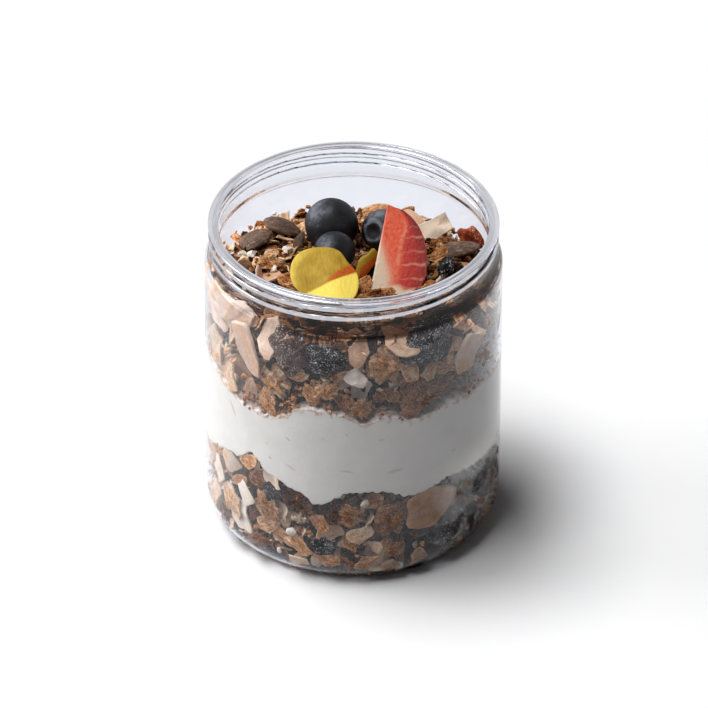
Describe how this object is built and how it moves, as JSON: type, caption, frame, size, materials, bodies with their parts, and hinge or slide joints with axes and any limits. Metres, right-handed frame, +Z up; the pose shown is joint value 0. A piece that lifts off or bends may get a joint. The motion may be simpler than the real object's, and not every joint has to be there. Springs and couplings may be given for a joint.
{
  "type": "jar of granola",
  "caption": "Clear plastic screw-neck jar, open, with layers of granola and yogurt, topped with blueberries, a strawberry wedge and flower petals.",
  "frame": {"origin": "centre of the jar's standing face, on the surface that it stands on", "axes": "+Z up along the jar's axis, -Y towards the side that the picture shows, +X to that view's right"},
  "size_m": [0.085, 0.085, 0.098],
  "materials": {
    "clear_plastic": "clear moulded plastic, glossy, faint cool tint",
    "granola": "toasted oats, seeds, nut slices and dried fruit, dry and matt",
    "yogurt": "thick white yogurt, soft sheen",
    "blueberry": "dark blue-black skin with a grey bloom",
    "strawberry": "moist cut flesh, red to orange, pale at the core",
    "petal": "soft yellow petal, fine veins"
  },
  "bodies": {
    "root": {"jar": "clear_plastic", "granola_bottom": "granola", "yogurt": "yogurt", "granola_top": "granola", "blueberry_large": "blueberry", "blueberry_front": "blueberry", "blueberry_back": "blueberry", "strawberry_wedge": "strawberry", "petal_front": "petal", "petal_back": "petal"}
  },
  "joints": []
}
